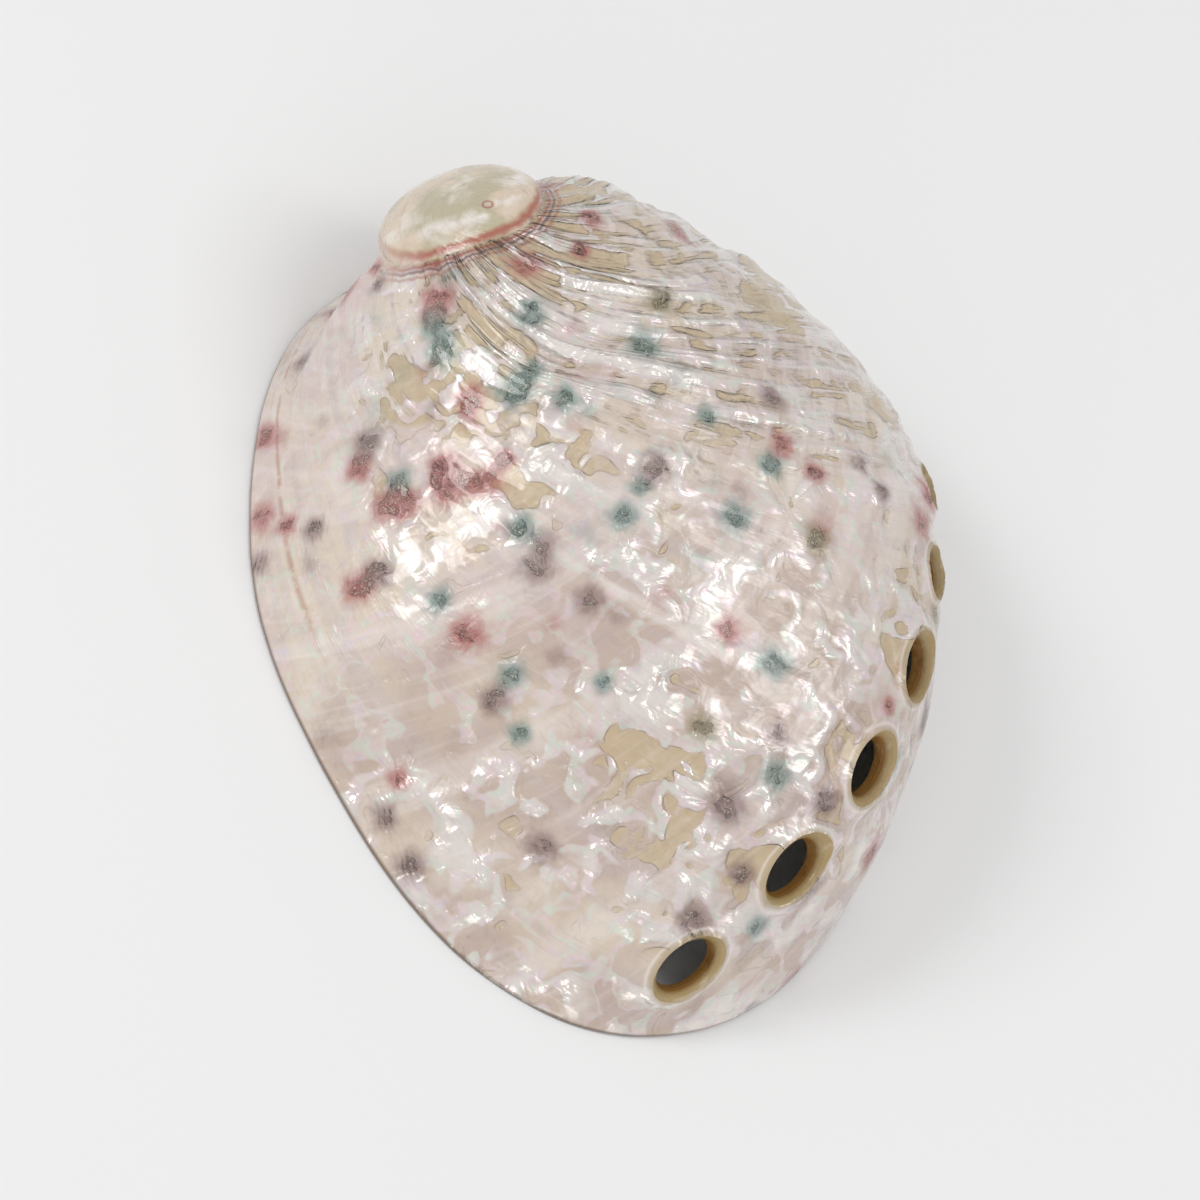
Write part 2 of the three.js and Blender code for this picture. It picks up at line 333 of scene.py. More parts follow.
def hole_frame(number):
    """Centre, row direction, cross direction and outward direction of a breathing hole."""
    coil = np.array(FIRST_HOLE + number * HOLE_PITCH)
    line = np.array(HOLE_LINE)
    centre = wall_points(coil, line)
    along = growth_direction(coil, line)
    out = np.cross(wall_points(coil, line + 0.01) - centre, along)
    out /= np.linalg.norm(out)
    if out @ (centre - MIDDLE) < 0:
        out = -out
    return centre, along, np.cross(along, out), out


HOLES = [hole_frame(n) for n in range(len(HOLE_LENGTHS) + len(SEALED_LENGTHS))]


def sample(field, points):
    """A fractal noise read at each row of points."""
    return np.array([field(Vector(p)) for p in points.reshape(-1, 3)]).reshape(points.shape[:-1])


def hole_distance(points, number):
    """Distance from a hole's axis, in hole half-lengths, and its half-length."""
    centre, along, across, _ = HOLES[number]
    half = (HOLE_LENGTHS + SEALED_LENGTHS)[number] / 2
    offset = points - centre
    q = np.hypot(offset @ along / half, offset @ across / (half * HOLE_SLENDERNESS))
    return np.where(np.linalg.norm(offset, axis=-1) < 4 * half, q, 9.0), half


def relief(skin, points):
    """Height of the folds, lips and knobs over the smooth dome, in millimetres."""
    age, angle = skin.age, skin.rim_angle
    growth = np.stack([age * 7.0, angle * 0.8, 0 * age], -1)
    folds = sample(lambda p: noise.fractal(p, 0.9, 2.1, 3), growth)
    waves = sample(lambda p: noise.noise(p), points / 13.0)
    dents = sample(lambda p: noise.noise(p), points / 4.2)
    fan = smooth(age, 0.8, 1.5)
    high = (0.25 + 0.75 * fan) * folds + 0.35 * waves + 0.14 * dents
    crest = 0.5 * folds
    for coil, start, end, height in RIDGES:
        across = (age - coil) / 0.035
        span = smooth(angle, start, start + 0.12) * (1 - smooth(angle, end - 0.3, end))
        high += height * span * np.exp(-across**2)
        crest += height * span * np.exp(-across**2)
    keel = (angle - 2 * math.pi - HOLE_LINE) * 60 * np.exp(-GROWTH * age)
    high += 0.45 * np.exp(-(keel / 5.0) ** 2) - 0.35 * np.exp(-((keel - 11.0) / 4.0) ** 2)
    for number in range(len(HOLE_LENGTHS)):
        q, _ = hole_distance(points, number)
        high += 0.95 * np.exp(-(((q - 1.2) / 0.38) ** 2))
    for number in range(len(HOLE_LENGTHS), len(HOLES)):
        q, half = hole_distance(points, number)
        high += 0.28 * half * np.exp(-((q / 1.1) ** 2)) - 0.14 * half * np.exp(-((q / 0.4) ** 2))
    return high, crest


# Fold crests that stand out: age, rim angles between which they run, height in millimetres.
RIDGES = (
    (1.66, 3.75, 5.2, 1.00),
    (1.52, 3.9, 5.0, 0.45),
    (1.88, 3.6, 4.7, 0.60),
    (2.10, 3.6, 5.2, 0.70),
    (2.42, 3.6, 4.9, 0.70),
    (2.75, 3.8, 5.3, 0.60),
    (1.05, 4.6, 5.9, 0.50),
    (0.80, 4.9, 6.0, 0.40),
    (0.50, 6.0, 6.8, 0.45),
    (0.12, 5.0, 6.2, 0.25),
)

# Soft-edged marks of the old coloured layer lie where growth bands cross the cords;
# the tan layer shows in broader places between them.
MARK_SEED = 7
TAN_SEED = 5
BAND_STEP = 0.11
CORD_STEP = 0.21
MARKED_ANGLES = (3.6, 8.0)
FAINT_CHANCE = 0.22
FAINT_AGE = 1.9
JITTER = 0.35
# A mark is left out where the skin has no such age and angle; the spire's cap carries none.
MARK_GAP = 0.01
UNREACHED = 99
# Red, teal, gold and brown.
TINTS = np.array((
    (0.37, 0.075, 0.072),
    (0.12, 0.215, 0.195),
    (0.24, 0.19, 0.09),
    (0.21, 0.12, 0.115),
))
# Up to which age, how likely a strong mark is, and the odds of red, teal, gold and brown.
MARK_ZONES = (
    (0.30, 0.34, (0.40, 0.10, 0.05, 0.45)),
    (0.90, 0.40, (0.30, 0.30, 0.10, 0.30)),
    (1.60, 0.28, (0.35, 0.35, 0.10, 0.20)),
    (3.40, 0.09, (0.75, 0.20, 0.05, 0.00)),
)


def scattered_marks():
    """Tint, age, rim angle, radius in millimetres and strength of each mark."""
    chance = np.random.default_rng(MARK_SEED)
    placed = []
    for band in np.arange(BAND_STEP / 2, MARK_ZONES[-1][0], BAND_STEP):
        likely, odds = next(zone[1:] for zone in MARK_ZONES if band < zone[0])
        for cord in np.arange(*MARKED_ANGLES, CORD_STEP):
            age = band + chance.uniform(-JITTER, JITTER) * BAND_STEP
            angle = cord + chance.uniform(-JITTER, JITTER) * CORD_STEP
            tint = TINTS[chance.choice(len(TINTS), p=odds)]
            draw, size, share = chance.uniform(size=3)
            if draw < likely:
                placed.append((tint, age, angle, 2.2 + 2.2 * size, 1.0))
            elif draw < likely + FAINT_CHANCE and age < FAINT_AGE:
                placed.append((tint, age, angle, 1.6 + 1.6 * size, 0.25 + 0.35 * share))
    return placed


def nearest(skin, age, angle):
    """Index of the skin point closest to an age and rim angle, and how far off it is."""
    gap = (skin.age - age) ** 2 + (skin.rim_angle - angle) ** 2
    gap[:, :SPIRE_RINGS] = UNREACHED
    near = np.unravel_index(gap.argmin(), gap.shape)
    return near, gap[near]


def marks(skin, points):
    """Tint and strength of the coloured marks at each point."""
    tint = np.zeros(points.shape)
    strength = np.zeros(points.shape[:-1])
    for colour, age, angle, radius, share in scattered_marks():
        near, gap = nearest(skin, age, angle)
        if gap > MARK_GAP:
            continue
        offset = points - points[near]
        along = growth_direction(age, angle)
        x = offset @ along
        y = np.sqrt(np.maximum((offset**2).sum(-1) - x**2, 0))
        half = 0.84 * radius
        weight = share * np.exp(-(abs(x / half) ** 3) - (y / half) ** 3)
        tint += weight[..., None] * colour
        strength += weight
    tint /= np.maximum(strength, 1e-6)[..., None]
    return tint, np.clip(strength, 0, 1)


# Zones where the tan layer shows: how many places, their ages and their rim angles.
TAN_ZONES = (
    (12, (1.6, 3.2), (3.7, 5.9)),
    (7, (0.9, 1.3), (3.7, 4.8)),
    (3, (0.4, 0.6), (5.8, 6.2)),
    (3, (0.2, 1.4), (6.2, 6.5)),
    (9, (0.5, 3.0), (6.6, 7.6)),
)


def tan_places(skin, points):
    """Where the tan layer is likely to show through."""
    chance = np.random.default_rng(TAN_SEED)
    likely = np.zeros(points.shape[:-1])
    for count, ages, angles in TAN_ZONES:
        for _ in range(count):
            age, angle, radius = chance.uniform(*ages), chance.uniform(*angles), chance.uniform(6, 9)
            near, _ = nearest(skin, age, angle)
            distance = np.linalg.norm(points - points[near], axis=-1)
            likely = np.maximum(likely, np.exp(-((distance / radius) ** 2)))
    return likely


def shelf_depth(points):
    """Extra thickness of the rim on the side away from the holes."""
    away = np.maximum(0, -np.sin(np.arctan2(points[..., 1] - MIDDLE[1], points[..., 0])))
    return SHELF * away**2 * np.maximum(0, 1 - points[..., 2] / SHELF_HEIGHT) ** 2


def shell_geometry():
    """Outside and inside points, the outside columns the inside ones lie under, and the values
    that the materials read at each outside point, all without the holes."""
    skin = Skin()
    lean = around(skin.lean(), 14)
    smooth_points = MIDDLE + skin.directions * skin.skin[..., None]
    height, crest = relief(skin, smooth_points)
    rings = skin.angles.shape[1]
    calm = np.ones((SPOKES, rings))
    calm[:, :SPIRE_RINGS] = 0
    away = skin.angles - skin.suture[:, None]
    calm *= smooth(away, 0, math.radians(3))
    calm *= smooth(smooth_points[..., 2], -1.0, 5.0) * 0.85 + 0.15
    outer_reach = skin.skin + calm * height / lean
    outer = MIDDLE + skin.directions * outer_reach[..., None]

    low = outer[..., 2]
    tucked = np.clip(RIM_CURL - low, 0, RIM_CURL)
    inset = RIM_CURL - np.sqrt(np.maximum(RIM_CURL**2 - tucked**2, 0))
    outer -= skin.directions * (inset * (low < RIM_CURL))[..., None]

    columns = list(range(1, rings - RIM_RINGS, INNER_STEP)) + [rings - RIM_RINGS // 2 - 1, rings - 1]
    dome = MIDDLE + skin.directions * skin.reach[..., None]
    depth = WALL / lean + shelf_depth(dome)
    inner = (dome - skin.directions * depth[..., None])[:, columns]

    tint, strength = marks(skin, smooth_points)
    values = {
        "age": skin.age,
        "angle": skin.rim_angle,
        "tan": tan_places(skin, smooth_points),
        "strength": strength,
        "fold": crest,
        "edge": (skin.angles - skin.suture[:, None]) * skin.skin,
        "tint": tint,
    }
    return outer, inner, columns, values


def build_mesh(name, outer, inner, columns, values):
    """The closed body: outside sheet, inside sheet and the ring they stand on."""
    spokes, rings = outer.shape[:2]
    inner_rings = inner.shape[1]
    verts = np.concatenate([outer.reshape(-1, 3), inner.reshape(-1, 3)])
    tops = np.array([outer[:, 0].mean(0), inner[:, 0].mean(0)])
    base, outer_top = spokes * rings, len(verts)
    verts = np.concatenate([verts, tops])
    faces, kinds = [], []
    for i in range(spokes):
        k = (i + 1) % spokes
        a, b = i * rings, k * rings
        faces.append((outer_top, a, b))
        kinds.append(0)
        for j in range(rings - 1):
            faces.append((a + j, a + j + 1, b + j + 1, b + j))
            kinds.append(0)
        c, d = base + i * inner_rings, base + k * inner_rings
        faces.append((outer_top + 1, d, c))
        kinds.append(1)
        for j in range(inner_rings - 1):
            faces.append((d + j, d + j + 1, c + j + 1, c + j))
            kinds.append(1)
        faces.append((a + rings - 1, c + inner_rings - 1, d + inner_rings - 1, b + rings - 1))
        kinds.append(2)
    mesh = bpy.data.meshes.new(name)
    mesh.from_pydata(verts.tolist(), [], faces)
    mesh.polygons.foreach_set("material_index", kinds)
    flat = {}
    for key, value in values.items():
        width = value.shape[2:]
        outside = value.reshape(-1, *width)
        within = value[:, columns].reshape(-1, *width)
        top = value[:1, 0].reshape(-1, *width)
        flat[key] = np.concatenate([outside, within, top, top])
    return mesh, verts, flat


def hole_cutter(number, material):
    """Rounded funnel through the wall: wide outside, narrowest in the wall, flared inside."""
    centre, along, across, out = HOLES[number]
    half = HOLE_LENGTHS[number] / 2
    verts, faces = [], []
    for height, radius in HOLE_PROFILE:
        for s in range(HOLE_SIDES):
            turn = 2 * math.pi * s / HOLE_SIDES
            x, y = half * radius * math.cos(turn), half * radius * HOLE_SLENDERNESS * math.sin(turn)
            verts.append(tuple(centre + along * x + across * y + out * height))
    for row in range(len(HOLE_PROFILE) - 1):
        for s in range(HOLE_SIDES):
            t = (s + 1) % HOLE_SIDES
            a, b = row * HOLE_SIDES, (row + 1) * HOLE_SIDES
            faces.append((a + s, b + s, b + t, a + t))
    faces.append(tuple(range(HOLE_SIDES)))
    faces.append(tuple(reversed(range(len(verts) - HOLE_SIDES, len(verts)))))
    mesh = bpy.data.meshes.new("cutter")
    mesh.from_pydata(verts, [], faces)
    mesh.materials.append(material)
    if mesh_volume(mesh) < 0:
        mesh.flip_normals()
    return mesh


def mesh_volume(mesh):
    """Signed volume, to tell whether faces point out."""
    total = 0.0
    for face in mesh.polygons:
        corners = [mesh.vertices[v].co for v in face.vertices]
        for b, c in zip(corners[1:], corners[2:]):
            total += corners[0].dot(b.cross(c))
    return total / 6


class Graph:
    """A material with one glossy shader, and short words for the nodes that feed it."""

    def __init__(self, name):
        self.material = bpy.data.materials.new(name)
        self.material.use_nodes = True
        self.tree = self.material.node_tree
        self.shader = self.tree.nodes["Principled BSDF"]
        where = self.put("ShaderNodeTexCoord").outputs["Object"]
        scaled = self.put("ShaderNodeVectorMath", operation="SCALE")
        self.tree.links.new(where, scaled.inputs[0])
        scaled.inputs["Scale"].default_value = 1000
        self.place = scaled.outputs[0]

    def put(self, kind, **settings):
        node = self.tree.nodes.new(kind)
        for key, value in settings.items():
            setattr(node, key, value)
        return node

    def feed(self, socket, value):
        if isinstance(value, bpy.types.NodeSocket):
            self.tree.links.new(value, socket)
        elif isinstance(value, tuple) and socket.type == "RGBA":
            socket.default_value = (*value, 1)
        else:
            socket.default_value = value

    def attr(self, name, colour=False):
        node = self.put("ShaderNodeAttribute", attribute_name=name)
        return node.outputs["Color" if colour else "Fac"]

    def math(self, operation, a, b=0.0, clamp=False):
        node = self.put("ShaderNodeMath", operation=operation, use_clamp=clamp)
        self.feed(node.inputs[0], a)
        self.feed(node.inputs[1], b)
        return node.outputs[0]

    def step(self, value, low, high):
        """0 below low and 1 above high, eased; falling if low is above high."""
        node = self.put("ShaderNodeMapRange", interpolation_type="SMOOTHSTEP")
        self.feed(node.inputs["Value"], value)
        falling = low > high
        node.inputs["From Min"].default_value = min(low, high)
        node.inputs["From Max"].default_value = max(low, high)
        node.inputs["To Min"].default_value = 1.0 if falling else 0.0
        node.inputs["To Max"].default_value = 0.0 if falling else 1.0
        return node.outputs[0]

    def band(self, value, centre, width):
        """1 at the centre, easing to 0 at the width to either side."""
        gap = self.math("ABSOLUTE", self.math("SUBTRACT", value, centre))
        return self.step(gap, width, 0.0)

    def mix(self, share, a, b, kind="MIX"):
        node = self.put("ShaderNodeMix", data_type="RGBA", blend_type=kind)
        self.feed(node.inputs["Factor"], share)
        self.feed(node.inputs[6], a)
        self.feed(node.inputs[7], b)
        return node.outputs[2]

    def vector(self, x, y, z=0.0):
        node = self.put("ShaderNodeCombineXYZ")
        for socket, value in zip(node.inputs, (x, y, z)):
            self.feed(socket, value)
        return node.outputs[0]

    def noise(self, vector, scale, detail=2.0, rough=0.5, warp=0.0):
        node = self.put("ShaderNodeTexNoise")
        self.feed(node.inputs["Vector"], vector)
        node.inputs["Scale"].default_value = scale
        node.inputs["Detail"].default_value = detail
        node.inputs["Roughness"].default_value = rough
        node.inputs["Distortion"].default_value = warp
        return node.outputs["Fac"]

    def bump(self, height, distance, strength=1.0, under=None):
        node = self.put("ShaderNodeBump")
        self.feed(node.inputs["Height"], height)
        node.inputs["Distance"].default_value = distance
        node.inputs["Strength"].default_value = strength
        if under is not None:
            self.feed(node.inputs["Normal"], under)
        return node.outputs[0]

    def finish(self, colour, roughness, normal, coat=0.0, coat_rough=0.1, metallic=0.0):
        self.feed(self.shader.inputs["Base Color"], colour)
        self.feed(self.shader.inputs["Roughness"], roughness)
        self.feed(self.shader.inputs["Normal"], normal)
        self.feed(self.shader.inputs["Metallic"], metallic)
        self.shader.inputs["Coat Weight"].default_value = coat
        self.shader.inputs["Coat Roughness"].default_value = coat_rough
        return self.material


# Colours, linear: the outside, its cap, the inside and the cut edges.
PINK_GREY = (0.66, 0.54, 0.50)
CREAM = (0.71, 0.61, 0.50)
LILAC = (0.59, 0.50, 0.52)
# Pearl white, also the colour of the painted highlights and glints.
PEARL_AND_HIGHLIGHT_WHITE = (0.87, 0.81, 0.77)
TAN = (0.50, 0.38, 0.22)
DARK_TAN = (0.30, 0.20, 0.10)
BRICK = (0.40, 0.12, 0.08)
CLOUD_AND_HIGHLIGHT_WHITE = (0.78, 0.70, 0.63)
FAN_BUFF = (0.55, 0.45, 0.35)
ROW_BROWN = (0.47, 0.355, 0.285)
BAND_GREY = (0.52, 0.44, 0.44)
CORD_CREAM = (0.84, 0.77, 0.72)
SHEEN_GREEN = (0.60, 0.72, 0.62)
SHEEN_PINK = (0.78, 0.56, 0.62)
SHEEN_VIOLET = (0.66, 0.60, 0.74)
LIGHT_TAN = (0.58, 0.46, 0.30)
MARGIN_BROWN = (0.42, 0.20, 0.13)
LINE_BROWN = (0.42, 0.33, 0.31)
SOOT = (0.10, 0.09, 0.08)
SPARKLE_GOLD = (0.82, 0.76, 0.60)
LIP_HONEY = (0.43, 0.34, 0.20)
FOOT_BROWN = (0.14, 0.085, 0.05)
CAP_OLIVE = (0.52, 0.46, 0.32)
CAP_BUFF = (0.70, 0.57, 0.44)
CAP_CREAM = (0.84, 0.78, 0.70)
CAP_RIM = (0.48, 0.33, 0.20)
SEAM_GOLD = (0.52, 0.36, 0.16)
SEAM_DARK = (0.20, 0.07, 0.08)
INNER_GREEN = (0.46, 0.64, 0.58)
INNER_SILVER = (0.74, 0.72, 0.68)
INNER_PINK = (0.72, 0.50, 0.58)
INNER_WHITE = (0.86, 0.84, 0.80)
INNER_BLUE = (0.42, 0.50, 0.66)
INNER_FOOT = (0.62, 0.52, 0.36)
SHADED_HONEY = (0.26, 0.125, 0.025)
LIGHT_HONEY = (0.36, 0.19, 0.05)
DARK_HONEY = (0.17, 0.08, 0.02)
EDGE_CREAM = (0.40, 0.285, 0.13)


def outside_material():
    """Ground-down outside: pearly layers, tan horn between them and faded colour marks, with painted
    highlights and glints on the pearly parts and the fold crests.
    """
    g = Graph("pearl_outside")
    age, angle, edge = g.attr("age"), g.attr("angle"), g.attr("edge")
    streak_grain = g.vector(age, g.math("MULTIPLY", angle, 0.085))
    fine_grain = g.vector(age, g.math("MULTIPLY", angle, 0.05))
    near = g.step(edge, -0.2, 0.5)
    fan = g.step(age, 1.15, 1.55)
    wild = g.math("MULTIPLY", g.step(age, 0.30, 0.60), g.step(g.noise(g.place, 0.05, 2), 0.40, 0.56))
    row_side = g.step(g.noise(g.place, 0.08, 2), 0.34, 0.58)
    row_side = g.math("MULTIPLY", g.step(angle, 5.40, 5.75), row_side)
    wild = g.math("MAXIMUM", g.math("MAXIMUM", wild, fan), row_side)

    milk = g.noise(g.place, 0.05, 2)
    colour = g.mix(g.step(milk, 0.38, 0.62), PINK_GREY, CREAM)
    # Lighter milky clouds: partly the nacre's own mottling, partly painted soft highlight.
    cloud = g.noise(g.place, 0.17, 3, 0.55, 0.4)
    colour = g.mix(g.math("MULTIPLY", g.step(cloud, 0.48, 0.68), 0.65), colour, CLOUD_AND_HIGHLIGHT_WHITE)
    colour = g.mix(g.math("MULTIPLY", g.step(cloud, 0.46, 0.28), 0.60), colour, LILAC)
    colour = g.mix(g.math("MULTIPLY", fan, 0.38), colour, FAN_BUFF)
    young_row = g.math("MULTIPLY", g.step(angle, 4.9, 5.5), g.step(age, 1.4, 0.9))
    young_row = g.math("MULTIPLY", young_row, g.step(milk, 0.80, 0.45))
    colour = g.mix(g.math("MULTIPLY", young_row, 0.70), colour, ROW_BROWN)
    growth_bands = g.noise(fine_grain, 17, 2, 0.5)
    colour = g.mix(g.math("MULTIPLY", g.step(growth_bands, 0.50, 0.66), 0.40), colour, BAND_GREY)
    cord_bands = g.noise(g.vector(g.math("MULTIPLY", age, 0.05), angle), 7.5, 2, 0.5)
    colour = g.mix(g.math("MULTIPLY", g.step(cord_bands, 0.50, 0.64), 0.35), colour, CORD_CREAM)

    streaks = g.noise(streak_grain, 16, 4, 0.55, 0.25)
    flakes = g.noise(g.place, 0.16, 1.4, 0.45, 0.9)
    along = g.math("ADD", 0.25, g.math("MULTIPLY", fan, 0.40))
    nacre = g.math("MULTIPLY", streaks, along)
    nacre = g.math("ADD", nacre, g.math("MULTIPLY", flakes, g.math("SUBTRACT", 1.0, along)))
    nacre = g.math("ADD", nacre, g.math("MULTIPLY", g.attr("fold"), 0.10))
    shift = g.noise(g.place, 0.33, 3, 0.6, 1.0)
    hue = g.mix(g.step(shift, 0.42, 0.56), SHEEN_GREEN, SHEEN_PINK)
    hue = g.mix(g.step(shift, 0.56, 0.66), hue, SHEEN_VIOLET)
    # White pearly flakes: partly the nacre's own white, partly painted glints.
    pearl_and_glint = g.math("MULTIPLY", g.step(nacre, 0.49, 0.56), g.math("MULTIPLY", wild, near))
    colour = g.mix(g.math("MULTIPLY", pearl_and_glint, 0.80), colour, PEARL_AND_HIGHLIGHT_WHITE)
    # Painted highlight: white along the fold crests where the streaks rise.
    crest = g.math("MULTIPLY", g.step(g.attr("fold"), 0.35, 0.75), g.step(streaks, 0.40, 0.52))
    tinted = g.math("MULTIPLY", g.step(nacre, 0.50, 0.54), g.step(nacre, 0.62, 0.56))
    colour = g.mix(g.math("MULTIPLY", tinted, 0.42), colour, hue)

    tan_bias = g.math("SUBTRACT", 0.20, g.math("MULTIPLY", fan, 0.08))
    tan = g.math("ADD", g.math("MULTIPLY", g.attr("tan"), tan_bias), g.math("SUBTRACT", 0.958, nacre))
    tan = g.math("ADD", tan, g.math("MULTIPLY", fan, 0.075))
    bare = g.math("MULTIPLY", near, g.math("MAXIMUM", wild, g.step(g.attr("tan"), 0.35, 0.5)))
    tan_mask = g.math("MULTIPLY", g.step(tan, 0.600, 0.612), bare)
    tan_shade = g.mix(g.noise(g.place, 0.4, 3), TAN, LIGHT_TAN)
    colour = g.mix(g.math("MULTIPLY", tan_mask, 0.86), colour, tan_shade)
    brink = g.math("MULTIPLY", g.band(tan, 0.598, 0.010), g.math("MULTIPLY", near, wild))
    colour = g.mix(g.math("MULTIPLY", brink, 0.30), colour, DARK_TAN)

    # Painted highlight along the fold crests.
    colour = g.mix(g.math("MULTIPLY", crest, 0.75), colour, PEARL_AND_HIGHLIGHT_WHITE)
    margin = g.math("MULTIPLY", g.band(age, 0.135, 0.016), g.step(angle, 3.7, 4.0))
    margin = g.math("MULTIPLY", margin, g.step(angle, 5.3, 4.9))
    margin = g.math("MULTIPLY", margin, g.step(g.noise(g.place, 0.3, 3), 0.38, 0.55))
    colour = g.mix(g.math("MULTIPLY", margin, 0.6), colour, MARGIN_BROWN)

    lines = g.noise(fine_grain, 150, 3, 0.6)
    colour = g.mix(g.math("MULTIPLY", g.step(lines, 0.52, 0.72), 0.20), colour, LINE_BROWN)
    cords = g.noise(g.vector(g.math("MULTIPLY", age, 0.12), angle), 34, 2, 0.5)
    colour = g.mix(g.math("MULTIPLY", g.step(cords, 0.5, 0.7), 0.14), colour, PEARL_AND_HIGHLIGHT_WHITE)

    ragged = g.math("ADD", g.attr("strength"), g.noise(g.place, 0.36, 4, 0.6, 0.6))
    mark = g.math("MULTIPLY", g.step(ragged, 0.42, 1.72), near)
    tint = g.attr("tint", True)
    colour = g.mix(g.math("MULTIPLY", mark, 0.88), colour, tint)
    worms = g.noise(g.place, 0.95, 2, 0.5, 1.2)
    core = g.math("MULTIPLY", g.step(ragged, 1.34, 1.70), near)
    sparkle = g.math("MULTIPLY", core, g.band(worms, 0.52, 0.045))
    colour = g.mix(g.math("MULTIPLY", core, 0.22), colour, g.mix(0.5, tint, SOOT))
    colour = g.mix(g.math("MULTIPLY", sparkle, 0.85), colour, SPARKLE_GOLD)

    cap_tone = g.noise(g.place, 0.10, 3, 0.5, 0.8)
    cap = g.mix(g.step(cap_tone, 0.40, 0.60), CAP_OLIVE, CAP_BUFF)
    cap_milk = g.step(g.noise(g.place, 0.16, 3), 0.45, 0.66)
    cap = g.mix(g.math("MULTIPLY", cap_milk, 0.7), cap, CAP_CREAM)
    # Painted highlight: a pearly white band on the cap by the seam side.
    gleam = g.math("MULTIPLY", g.band(edge, -4.2, 2.6), g.step(g.attr("seam"), 0.5, 0.95))
    gleam = g.math("MULTIPLY", gleam, g.step(g.noise(g.place, 0.25, 3), 0.36, 0.56))
    cap = g.mix(g.math("MULTIPLY", gleam, 0.85), cap, PEARL_AND_HIGHLIGHT_WHITE)
    cap = g.mix(g.math("MULTIPLY", g.band(edge, -0.9, 0.8), 0.5), cap, CAP_RIM)
    whorl = g.noise(g.vector(g.attr("dot"), 0.0), 0.7, 3, 0.6)
    cap = g.mix(g.math("MULTIPLY", g.step(whorl, 0.55, 0.7), 0.3), cap, TAN)
    colour = g.mix(g.math("SUBTRACT", 1.0, near), colour, cap)
    seam = g.attr("seam")
    wavering = g.math("ADD", edge, g.math("MULTIPLY", g.noise(g.place, 0.5, 2), 0.9))
    for centre, width, weight, line_tint in (
        (-0.1, 0.85, 0.95, BRICK), (0.85, 0.50, 0.65, SEAM_GOLD), (1.50, 0.70, 0.90, BRICK),
        (2.4, 0.55, 0.85, SEAM_DARK), (3.4, 0.60, 0.60, BRICK),
    ):
        line = g.math("MULTIPLY", g.band(wavering, centre, width), seam)
        colour = g.mix(g.math("MULTIPLY", line, weight), colour, line_tint)
    colour = g.mix(g.math("MULTIPLY", g.band(g.attr("dot"), 0.9, 0.40), 0.8), colour, BRICK)

    lip = g.attr("lip")
    lip_edge = g.math("ADD", lip, g.math("MULTIPLY", g.noise(g.place, 0.25, 3), 0.35))
    colour = g.mix(g.math("MULTIPLY", g.step(lip_edge, 1.72, 1.42), 0.80), colour, LIP_HONEY)
    colour = g.mix(g.math("MULTIPLY", g.band(lip, 1.50, 0.10), 0.4), colour, PEARL_AND_HIGHLIGHT_WHITE)
    foot = g.attr("foot")
    colour = g.mix(g.math("MULTIPLY", g.step(foot, 1.1, 0.5), 0.85), colour, FOOT_BROWN)

    dents = g.noise(g.place, 0.20, 2, 0.5, 0.8)
    normal = g.bump(g.math("MULTIPLY", dents, g.math("ADD", 0.35, wild)), 0.0010, 0.8)
    billow = g.math("SUBTRACT", g.noise(g.place, 0.16, 0.4, 0.45, 0.9), 0.5)
    billow = g.math("MULTIPLY", billow, g.math("SUBTRACT", 1.0, along))
    furrow = g.math("MULTIPLY", g.math("SUBTRACT", g.noise(streak_grain, 16, 1.4, 0.5, 0.25), 0.5), along)
    lift = g.math("ADD", 0.42, g.math("MULTIPLY", fan, 0.55))
    lift = g.math("MULTIPLY", lift, g.math("MULTIPLY", wild, near))
    normal = g.bump(g.math("MULTIPLY", g.math("ADD", billow, furrow), lift), 0.0042, 0.9, normal)
    normal = g.bump(g.math("MULTIPLY", g.math("SUBTRACT", nacre, 0.5), lift), 0.0006, 0.8, normal)
    normal = g.bump(g.math("MULTIPLY", g.step(tan, 0.63, 0.58), near), 0.00020, 0.9, normal)
    normal = g.bump(g.math("MULTIPLY", lines, near), 0.00010, 0.6, normal)
    normal = g.bump(g.math("MULTIPLY", whorl, g.math("SUBTRACT", 1.0, near)), 0.0009, 0.7, normal)
    normal = g.bump(g.math("MULTIPLY", core, worms), 0.0022, 0.9, normal)
    rough = g.math("ADD", 0.15, g.math("MULTIPLY", g.noise(g.place, 0.3, 3), 0.16))
    rough = g.math("ADD", rough, g.math("MULTIPLY", tan_mask, 0.10))
    metal = g.math("SUBTRACT", 1.0, g.math("MAXIMUM", tan_mask, mark))
    metal = g.math("MULTIPLY", metal, g.math("MULTIPLY", pearl_and_glint, 0.35))
    return g.finish(colour, rough, normal, 0.6, 0.05, metal)


